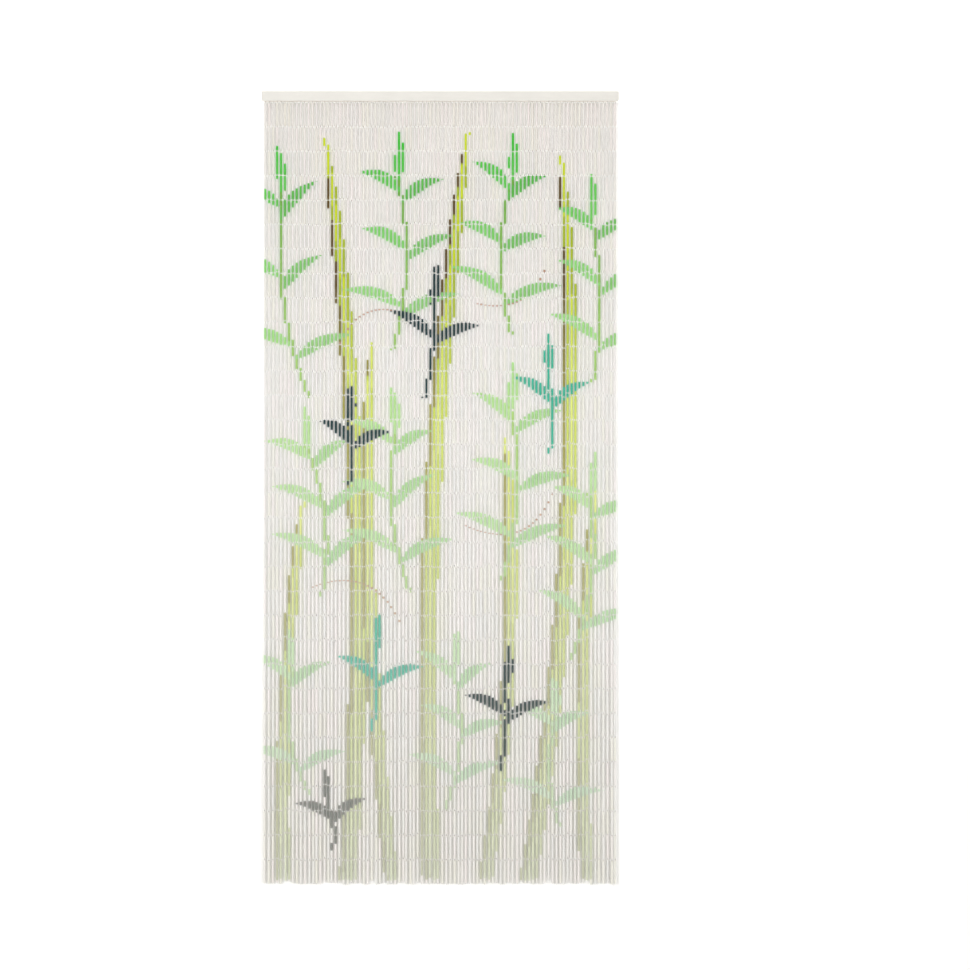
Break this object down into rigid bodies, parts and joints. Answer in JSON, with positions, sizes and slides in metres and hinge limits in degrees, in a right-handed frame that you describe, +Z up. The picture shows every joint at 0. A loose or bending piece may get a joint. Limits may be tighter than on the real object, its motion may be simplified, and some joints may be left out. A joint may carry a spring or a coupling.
{
  "type": "bamboo door curtain on a header bar",
  "caption": "Door curtain of thin bamboo tubes wired end to end into long strings, which hang side by side from a slim wooden header bar.",
  "frame": {"origin": "middle of the header bar's flat back face, which lies on a wall or a door frame", "axes": "+Z up, +Y into the wall that carries the bar, so the front looks along -Y, and +X along the bar to the right as seen from the front"},
  "size_m": [0.9, 0.015, 2],
  "materials": {
    "cream_paint": "cream paint on planed wood, satin",
    "pale_bamboo": "pale bleached bamboo under a thin matt coat, with brushed print colours",
    "link_wire": "thin zinc-coated wire, dull"
  },
  "bodies": {
    "root": {"header_bar": "cream_paint", "bead_strings": "pale_bamboo"}
  },
  "joints": []
}
